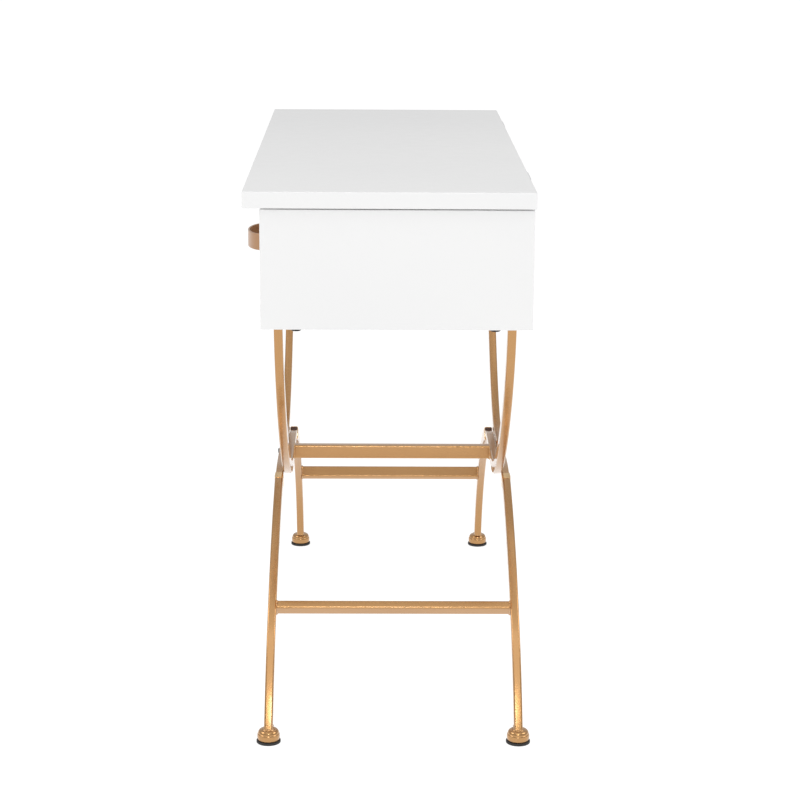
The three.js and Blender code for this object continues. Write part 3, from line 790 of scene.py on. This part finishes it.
def stretchers():
    """The centre one stands upright. Each low one is turned to lie along its legs."""
    stretcher("centre_stretcher", Vector((1, 0)), CENTRE_STRETCHER_DEPTH, CENTRE_STRETCHER_HEIGHT)
    for name, side in SIDES:
        line = bow_line(leg_bows(-side)[1], FINE_STEPS)
        lengths = [(b - a).length for a, b in zip(line, line[1:])]
        wanted, run, index = LOW_STRETCHER_STATION * sum(lengths), 0.0, 0
        while run < wanted:
            run += lengths[index]
            index += 1
        stretcher(f"{name}_stretcher", heading(line, index), TUBE_WIDTH, TUBE_DEPTH)


def foot(name):
    """A turned gold foot with a shoulder, and the rubber pad under it.
    The bare numbers are shares of the radius and the height."""
    at, radius, height = upright(f"{name}_foot")
    side = []
    for i in range(FOOT_STEPS + 1):
        swell = math.sin(math.pi * (0.12 + 0.62 * i / FOOT_STEPS))
        side.append((radius * (0.90 + 0.10 * swell), height * 0.56 * i / FOOT_STEPS))
    shoulder, neck = side[-1][0] - FOOT_SHOULDER, radius * 0.62
    dome = []
    for i in range(FOOT_STEPS + 1):
        angle = math.pi / 2 * i / FOOT_STEPS
        dome.append((neck + (shoulder - neck) * math.cos(angle), height * (0.60 + 0.34 * math.sin(angle))))
    collar = [(neck * 0.97, height * 0.97), (neck * 0.9, height), (0, height)]
    bm = bmesh.new()
    add_turned(bm, [(0, 0), (radius * 0.86, 0), *side, *dome, *collar], at, sides=FOOT_SIDES)
    piece(f"{name}_turned_foot", bm, "gold_metal", (f"{name}_foot",))
    at, radius, height = upright(f"{name}_foot_pad")
    top_ease = PAD_EASE * 0.7
    rim = arc(PAD_EASE, -90, 0, 4, (radius - PAD_EASE, PAD_EASE))
    rim += arc(top_ease, 0, 90, 4, (radius - top_ease, height - top_ease))
    underside = [(0, PAD_HOLLOW), (radius * 0.7, PAD_HOLLOW), (radius * 0.74, 0)]
    bm = bmesh.new()
    add_turned(bm, [*underside, *rim, (0, height)], at, sides=FOOT_SIDES)
    piece(f"{name}_rubber_pad", bm, "rubber", (f"{name}_foot_pad",))


def leg_plate(name, leg_node, sign):
    """The welded plate on top of a leg, the bead round the leg, and its two bolts."""
    node, bolt = f"{name}_leg_plate", f"{name}_plate_bolt"
    low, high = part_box(node)
    centre = (low + high) / 2
    bm = bmesh.new()
    outline = rounded_rectangle(high.x - low.x, high.y - low.y, PLATE_CORNER, 8)
    add_sheet(bm, outline, Vector((centre.x, centre.y, high.z)), -Z, high.z - low.z, PLATE_EDGE)
    piece(f"{node}_pressed", bm, "gold_metal", (node,))
    bm = bmesh.new()
    outline = rounded_rectangle(TUBE_DEPTH, TUBE_WIDTH, TUBE_CORNER)
    add_weld(bm, outline, Vector((centre.x, leg_top(leg_node, sign), low.z)), X, Y, -Z, PLATE_WELD_SIZE)
    piece(f"{node}_weld", bm, "gold_metal", body=BODY_OF[node])
    bolt_centre = middle(bolt)
    washer = [(0, 0), (PLATE_WASHER_RADIUS, 0), (PLATE_WASHER_RADIUS, PLATE_WASHER_RIM),
              (PLATE_WASHER_TOP_RADIUS, PLATE_WASHER_HEIGHT), (0, PLATE_WASHER_HEIGHT)]
    for place, x in (("outer", bolt_centre.x), ("inner", 2 * centre.x - bolt_centre.x)):
        bm = bmesh.new()
        add_turned(bm, washer, Vector((x, bolt_centre.y, low.z)), -Z)
        add_fastener(bm, Vector((x, bolt_centre.y, low.z - PLATE_WASHER_HEIGHT)), -Z, PLATE_BOLT_RADIUS,
                     PLATE_BOLT_HEAD - PLATE_WASHER_RIM, hex_socket(PLATE_BOLT_RADIUS), 40)
        stands_for = (bolt,) if place == "outer" else ()
        piece(f"{name}_{place}_plate_bolt_head", bm, "black_steel", stands_for, body=BODY_OF[bolt])


def foot_weld(name, leg_node, side):
    """The bead where a leg's level end stands on its foot."""
    lower = leg_bows(side)[1]
    slope = (lower[3] - lower[2]).normalized()
    reach = (foot_top - lower[3].y) / slope.y
    x = lower[3].x + slope.x * reach
    outline = rounded_rectangle(TUBE_DEPTH / abs(slope.y), TUBE_WIDTH, TUBE_CORNER)
    bm = bmesh.new()
    add_weld(bm, outline, Vector((x, leg_foot(leg_node), foot_top)), X, Y, Z, FOOT_WELD_SIZE)
    piece(f"{name}_foot_weld", bm, "gold_metal", body=BODY_OF[leg_node])


def crossing_bolt(name, sign):
    """A hexagon head on the outer bar, the shank through both bars, and the washer between them."""
    node = f"{name}_crossing_bolt"
    low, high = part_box(node)
    centre = (low + high) / 2
    radius, shank, head = (high.z - low.z) / 2, CROSSING_BOLT_RADIUS, CROSSING_BOLT_HEAD
    face = (high.y if sign > 0 else low.y) - sign * head
    tail = low.y if sign > 0 else high.y
    bm = bmesh.new()
    add_turned(bm, [(0, 0), (radius, 0), (radius, head * 0.6), (radius * 0.8, head), (0, head)],
               Vector((centre.x, face, centre.z)), Y * sign, sides=6)
    add_turned(bm, [(0, 0), (shank, 0), (shank, abs(face - tail)), (0, abs(face - tail))],
               Vector((centre.x, min(face, tail), centre.z)), Y, sides=32)
    piece(f"{node}_fitted", bm, "black_steel", (node,), smooth_under=30)
    node = f"{name}_crossing_washer"
    low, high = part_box(node)
    bm = bmesh.new()
    add_ring(bm, low.y, high.y, centre, Y, shank + CROSSING_WASHER_FIT, (high.z - low.z) / 2,
             CROSSING_WASHER_EASE)
    piece(f"{node}_turned", bm, "black_steel", (node,))


def base():
    """The front and the rear leg frame, and the stretchers between them."""
    for name, sign in FRAMES:
        leg(f"{name}_inner", 1, sign)
        leg(f"{name}_outer", -1, sign)
        leg_plate(f"{name}_right", f"{name}_inner_leg", sign)
        leg_plate(f"{name}_left", f"{name}_outer_leg", sign)
        foot(f"{name}_left")
        foot(f"{name}_right")
        foot_weld(f"{name}_left", f"{name}_inner_leg", 1)
        foot_weld(f"{name}_right", f"{name}_outer_leg", -1)
        crossing_bolt(name, sign)
    stretchers()


# ---------------------------------------------------------------- case

def cam_covers(name, body, places, outward):
    """Small push-in caps over the cam fittings that hold the boards together."""
    radius, low, mid, high = CAM_COVER_RADIUS, -0.2 * MM, 0.35 * MM, 0.6 * MM
    profile = [(0, low), (radius, low), (radius, mid), (radius * 0.93, high), (radius * 0.3, high),
               (radius * 0.22, mid), (0, mid)]
    bm = bmesh.new()
    for place in places:
        add_turned(bm, profile, Vector(place), outward, sides=36)
    piece(name, bm, "drawer_board", body=body)


def lid_bumper(name):
    """A low rubber dome that the closed lid rests on."""
    node = f"{name}_lid_bumper"
    at, radius, height = upright(node)
    dome = []
    for i in range(BUMPER_STEPS):
        angle = math.pi / 2 * i / BUMPER_STEPS
        dome.append((radius * math.cos(angle), height * (0.45 + 0.55 * math.sin(angle))))
    bm = bmesh.new()
    add_turned(bm, [(0, 0), (radius, 0), *dome, (0, height)], at, sides=32)
    piece(f"{name}_bumper_dot", bm, "rubber", (node,))


def case():
    """The boards, the caps on their cam fittings, and the bumpers under the lid."""
    for node in ("back_panel", "front_fascia", "left_end_panel", "right_end_panel"):
        panel(node)
    for node in ("bottom_panel", "compartment_floor", "left_divider", "right_divider"):
        panel(node, edge=BOARD_EDGE)
    low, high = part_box("compartment_floor")
    for name, side in SIDES:
        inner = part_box(f"{name}_end_panel")[1 if side < 0 else 0].x
        spots = [(inner, y, high.z + CASE_CAM_RISE)
                 for y in (low.y + CASE_CAM_INSET, high.y - CASE_CAM_INSET)]
        cam_covers(f"{name}_cam_covers", "base", spots, -X * side)
        lid_bumper(name)


# ---------------------------------------------------------------- drawer and runners

def channel_outline(low, high, opens):
    """The section of a rolled C channel in X and Z, its web at the side away from where it opens."""
    web, lip = (low.x, high.x) if opens > 0 else (high.x, low.x)
    reach, height = abs(lip - web), high.z - low.z
    inner = RUNNER_BEND - RUNNER_SHEET
    outside = [(reach, 0)] + arc(RUNNER_BEND, 270, 180, 5, (RUNNER_BEND, RUNNER_BEND))
    outside += arc(RUNNER_BEND, 180, 90, 5, (RUNNER_BEND, height - RUNNER_BEND)) + [(reach, height)]
    inside = [(reach, height - RUNNER_SHEET)] + arc(inner, 90, 180, 5, (RUNNER_BEND, height - RUNNER_BEND))
    inside += arc(inner, 180, 270, 5, (RUNNER_BEND, RUNNER_BEND)) + [(reach, RUNNER_SHEET)]
    return [(web + opens * a, low.z + b) for a, b in outside + inside]


def runner_member(node, opens):
    low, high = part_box(node)
    outline = channel_outline(low, high, opens)
    bm = bmesh.new()
    loft(bm, [[Vector((x, y, z)) for x, z in outline] for y in (low.y, high.y)])
    piece(f"{node}_rolled", bm, "zinc_steel", (node,))


def ball_cage(name, body, x, z, y_start, y_end, radius, count):
    """A thin cage strip with its row of balls."""
    bm = bmesh.new()
    add_block(bm, Vector((x - CAGE_HALF_WIDTH, y_start, z - CAGE_HALF_SHEET)),
              Vector((x + CAGE_HALF_WIDTH, y_end, z + CAGE_HALF_SHEET)))
    for i in range(count):
        y = y_start + (y_end - y_start) * (i + 0.5) / count
        bmesh.ops.create_uvsphere(bm, u_segments=14, v_segments=9, radius=radius,
                                  matrix=Matrix.Translation((x, y, z)))
    piece(name, bm, "zinc_steel", body=body)


def runner_screws(name, node, side, inset):
    """Two screws on the inner face of a member's web. side is the X side that the web is on."""
    low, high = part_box(node)
    web = (high.x - RUNNER_SHEET) if side > 0 else (low.x + RUNNER_SHEET)
    z = (low.z + high.z) / 2
    screws(name, BODY_OF[node], [(web, y, z) for y in (low.y + inset, high.y - inset)], -X * side)


def runners():
    """Each side's three members, the two pairs of cages in the middle one, and the screws."""
    for name, side in SIDES:
        outer, carried, inner = (f"{name}_runner_{member}" for member in ("outer", "middle", "inner"))
        runner_member(outer, -side)
        runner_member(carried, -side)
        runner_member(inner, side)
        low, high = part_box(carried)
        x = (low.x + high.x) / 2 - side * BALL_ASIDE
        body = BODY_OF[carried]
        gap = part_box(outer)[1].z - RUNNER_SHEET - high.z
        for place, sign in (("lower", -1), ("upper", 1)):
            edge = high.z if sign > 0 else low.z
            ball_cage(f"{name}_{place}_outer_cage", body, x, edge + sign * gap / 2,
                      high.y - CAGE_FAR, high.y - CAGE_NEAR, gap * BALL_SHARE, OUTER_CAGE_BALLS)
            inner_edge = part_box(inner)[1 if sign > 0 else 0].z
            room = abs(edge - sign * RUNNER_SHEET - inner_edge)
            ball_cage(f"{name}_{place}_inner_cage", body, x, inner_edge + sign * room / 2,
                      low.y + CAGE_NEAR, low.y + CAGE_FAR, room * BALL_SHARE, INNER_CAGE_BALLS)
        runner_screws(f"{name}_outer_runner_screws", outer, side, OUTER_RUNNER_SCREW_INSET)
        runner_screws(f"{name}_inner_runner_screws", inner, -side, INNER_RUNNER_SCREW_INSET)


def bow_handle():
    """A flat band: straight ends that stand on the drawer front, half an oval between, and two screw tabs."""
    low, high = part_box("bow_handle")
    half, reach = (high.x - low.x) / 2 - HANDLE_SHEET / 2, high.y - low.y
    centre = Vector(((low.x + high.x) / 2, high.y, (low.z + high.z) / 2))
    straight = reach - HANDLE_BOW
    bow = HANDLE_BOW - HANDLE_SHEET / 2
    section = rounded_rectangle(HANDLE_SHEET, high.z - low.z, HANDLE_CORNER, 5)
    start = [Vector((-half, -straight * i / HANDLE_END_STEPS)) for i in range(HANDLE_END_STEPS)]
    oval = []
    for i in range(HANDLE_BOW_STEPS + 1):
        angle = math.pi * i / HANDLE_BOW_STEPS
        oval.append(Vector((-half * math.cos(angle), -straight - bow * math.sin(angle))))
    line = start + oval + [Vector((half, point.y)) for point in reversed(start)]
    rings = []
    for i, point in enumerate(line):
        along = heading(line, i)
        out = Vector((along.y, -along.x, 0))
        rings.append([centre + point.to_3d() + out * a + Z * b for a, b in section])
    bm = bmesh.new()
    loft(bm, rings)
    piece("bow_handle_band", bm, "handle_metal", ("bow_handle",))
    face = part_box("drawer_front")[0].y
    outline = rounded_rectangle(TAB_LENGTH, (high.z - low.z) * TAB_HEIGHT_SHARE, TAB_CORNER, 5)
    bm = bmesh.new()
    spots = []
    for side in (-1, 1):
        x = centre.x + side * (half - HANDLE_SHEET / 2 - TAB_LENGTH / 2)
        add_sheet(bm, outline, Vector((x, face, centre.z)), -Y, TAB_SHEET)
        spots.append((x - side * TAB_SCREW_SHIFT, face - TAB_SHEET, centre.z))
    piece("bow_handle_tabs", bm, "handle_metal", body=BODY_OF["bow_handle"])
    screws("bow_handle_screws", BODY_OF["bow_handle"], spots, -Y, "handle_metal",
           TAB_SCREW_RADIUS, TAB_SCREW_HEIGHT)


def drawer():
    """The boards of the drawer, its caps and its handle, and the runners that carry it."""
    panel("drawer_front")
    for node in ("drawer_left_side", "drawer_right_side", "drawer_back", "drawer_bottom"):
        panel(node, "drawer_board", BOARD_EDGE)
    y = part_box("drawer_front")[1].y + DRAWER_CAM_INSET
    height = middle("drawer_left_side").z
    for name, side in SIDES:
        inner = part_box(f"drawer_{name}_side")[1 if side < 0 else 0].x
        spots = [(inner, y, height + rise) for rise in DRAWER_CAM_RISES]
        cam_covers(f"drawer_{name}_cam_covers", "drawer", spots, -X * side)
    bow_handle()
    runners()


# ---------------------------------------------------------------- lid, mirror and hinges

def mirror():
    """Silvered glass with a ground slope round its face, held by two gold rails."""
    low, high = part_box("mirror_glass")
    rings = []
    for inset, z in ((0, high.z), (0, low.z + MIRROR_RIM), (MIRROR_SLOPE, low.z)):
        x0, x1, y0, y1 = low.x + inset, high.x - inset, low.y + inset, high.y - inset
        rings.append([Vector((x, y, z)) for x, y in ((x0, y0), (x1, y0), (x1, y1), (x0, y1))])
    bm = bmesh.new()
    loft(bm, rings)
    piece("mirror_glass_ground", bm, "mirror_glass", ("mirror_glass",), smooth_under=3)
    for name, sign in FRAMES:
        node = f"mirror_{name}_rail"
        low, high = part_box(node)
        depth, tall = high.y - low.y, high.z - low.z
        bend = (RAIL_BEND, RAIL_BEND)
        outline = arc(RAIL_BEND, 180, 270, 5, bend)
        outline += [(depth - RAIL_LIP_EASE, 0), (depth, RAIL_LIP_EASE), (depth, RAIL_SHEET)]
        outline += arc(RAIL_BEND - RAIL_SHEET, 270, 180, 4, bend) + [(RAIL_SHEET, tall), (0, tall)]
        web = low.y if sign < 0 else high.y
        bm = bmesh.new()
        loft(bm, [[Vector((x, web - sign * a, low.z + b)) for a, b in outline] for x in (low.x, high.x)])
        piece(f"{node}_folded", bm, "gold_metal", (node,))


def hinge_leaf(node, axis, first):
    """A leaf: a sheet with round outer corners, its knuckles, and the short webs between them."""
    low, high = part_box(node)
    up = 1 if high.z - axis.z > axis.z - low.z else -1
    near = axis.z + up * (KNUCKLE_RADIUS + LEAF_CLEARANCE)
    far = high.z if up > 0 else low.z
    long, tall, corner = high.x - low.x, abs(far - near), LEAF_CORNER
    half = long / 2
    outline = [(-half, 0), (half, 0)] + arc(corner, 0, 90, 6, (half - corner, tall - corner))
    outline += arc(corner, 90, 180, 6, (corner - half, tall - corner))
    bm = bmesh.new()
    rings = []
    for depth, inset in ((0, 0), (HINGE_SHEET - SHEET_EDGE, 0), (HINGE_SHEET, SHEET_EDGE)):
        across, upwards = 1 - inset / half, up * (1 - inset / tall)
        rings.append([Vector((axis.x + a * across, low.y + depth, near + b * upwards)) for a, b in outline])
    loft(bm, rings)
    pitch = long / KNUCKLE_COUNT
    web_z = (axis.z + up * (KNUCKLE_BORE + WEB_KNUCKLE_LAP), near + up * WEB_LEAF_LAP)
    for i in range(first, KNUCKLE_COUNT, 2):
        x0 = low.x + i * pitch + KNUCKLE_GAP / 2
        x1 = x0 + pitch - KNUCKLE_GAP
        add_ring(bm, x0, x1, axis, X, KNUCKLE_BORE, KNUCKLE_RADIUS, KNUCKLE_EASE)
        add_block(bm, Vector((x0, low.y, min(web_z))), Vector((x1, axis.y - KNUCKLE_BORE * 0.6, max(web_z))),
                  WEB_EASE, 1)
    piece(f"{node}_rolled", bm, "zinc_steel", (node,))
    height = near + up * tall * HINGE_SCREW_RISE
    spread = half * HINGE_SCREW_SPREAD
    spots = [(axis.x + offset, low.y + HINGE_SHEET, height) for offset in (-spread, 0, spread)]
    screws(f"{node}_screws", BODY_OF[node], spots, Y, "zinc_steel", HINGE_SCREW_RADIUS, HINGE_SCREW_HEIGHT)


def hinges():
    for name, _ in SIDES:
        node = f"{name}_hinge_pin"
        axis = middle(node)
        hinge_leaf(f"{name}_hinge_case_leaf", axis, 0)
        hinge_leaf(f"{name}_hinge_lid_leaf", axis, 1)
        low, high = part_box(node)
        radius, long = (high.z - low.z) / 2, high.x - low.x
        tip = radius * 0.6
        profile = [(0, 0), (tip, 0), (radius, PIN_EASE), (radius, long - PIN_EASE), (tip, long), (0, long)]
        bm = bmesh.new()
        add_turned(bm, profile, Vector((low.x, axis.y, axis.z)), X, sides=24)
        piece(f"{node}_turned", bm, "zinc_steel", (node,))


def lid():
    panel("lid_panel")
    mirror()
    hinges()


# ---------------------------------------------------------------- studio

def studio_material(name, colour, glow):
    """A matt studio surface with a little light of its own, so that it stays pale round the object."""
    f = Finish(name, Roughness=0.9, Emission_Strength=glow)
    f.shader.inputs["Emission Color"].default_value = (*colour, 1)
    f.colour(f.mix(f.spread(f.noise(0.7, 2), 0, 1), colour, tuple(c * 0.995 for c in colour)))
    return f.material


def floor():
    """A round floor, so wide that its rim never shows."""
    bm = bmesh.new()
    bmesh.ops.create_circle(bm, cap_ends=True, segments=96, radius=FLOOR_RADIUS)
    mesh = bpy.data.meshes.new("studio_floor")
    bm.to_mesh(mesh)
    bm.free()
    mesh.materials.append(studio_material("studio_white", FLOOR_TONE, FLOOR_GLOW))
    obj = bpy.data.objects.new("studio_floor", mesh)
    bpy.context.scene.collection.objects.link(obj)


def softbox(name, place, aim, size, radiance):
    """A rectangular light. Its radiance is that of its face, on the scale of the studio air's strength."""
    light = bpy.data.lights.new(name, "AREA")
    light.shape = "RECTANGLE"
    light.size, light.size_y = size
    light.energy = math.pi * size[0] * size[1] * radiance
    obj = bpy.data.objects.new(name, light)
    obj.location = place
    obj.rotation_euler = (Vector(aim) - Vector(place)).to_track_quat("-Z", "Y").to_euler()
    bpy.context.scene.collection.objects.link(obj)


def lights():
    world = bpy.data.worlds.new("studio_air")
    world.use_nodes = True
    background = world.node_tree.nodes["Background"]
    background.inputs["Color"].default_value = (1, 1, 1, 1)
    background.inputs["Strength"].default_value = WORLD_STRENGTH
    bpy.context.scene.world = world
    for box in SOFTBOXES:
        softbox(*box)


def camera():
    """The lens, place and tilt of the view along the table, from its right end."""
    x, aside, z = CAMERA_PLACE
    place = Vector((x, middle("lid_panel").y + aside, z))
    forward = Vector((-math.cos(CAMERA_YAW) * math.cos(CAMERA_PITCH),
                      math.sin(CAMERA_YAW) * math.cos(CAMERA_PITCH), -math.sin(CAMERA_PITCH)))
    right = Vector((math.sin(CAMERA_YAW), math.cos(CAMERA_YAW), 0))
    up = right.cross(forward)
    rolled_right = right * math.cos(CAMERA_ROLL) + up * math.sin(CAMERA_ROLL)
    rolled_up = up * math.cos(CAMERA_ROLL) - right * math.sin(CAMERA_ROLL)
    data = bpy.data.cameras.new("view")
    data.sensor_width = CAMERA_SENSOR
    data.lens = CAMERA_LENS
    obj = bpy.data.objects.new("view", data)
    obj.matrix_world = Matrix.Translation(place) @ Matrix(
        (rolled_right, rolled_up, -forward)).transposed().to_4x4()
    bpy.context.scene.collection.objects.link(obj)
    bpy.context.scene.camera = obj


bpy.context.scene.view_settings.view_transform = "Standard"
camera()
lights()
floor()
base()
case()
drawer()
lid()
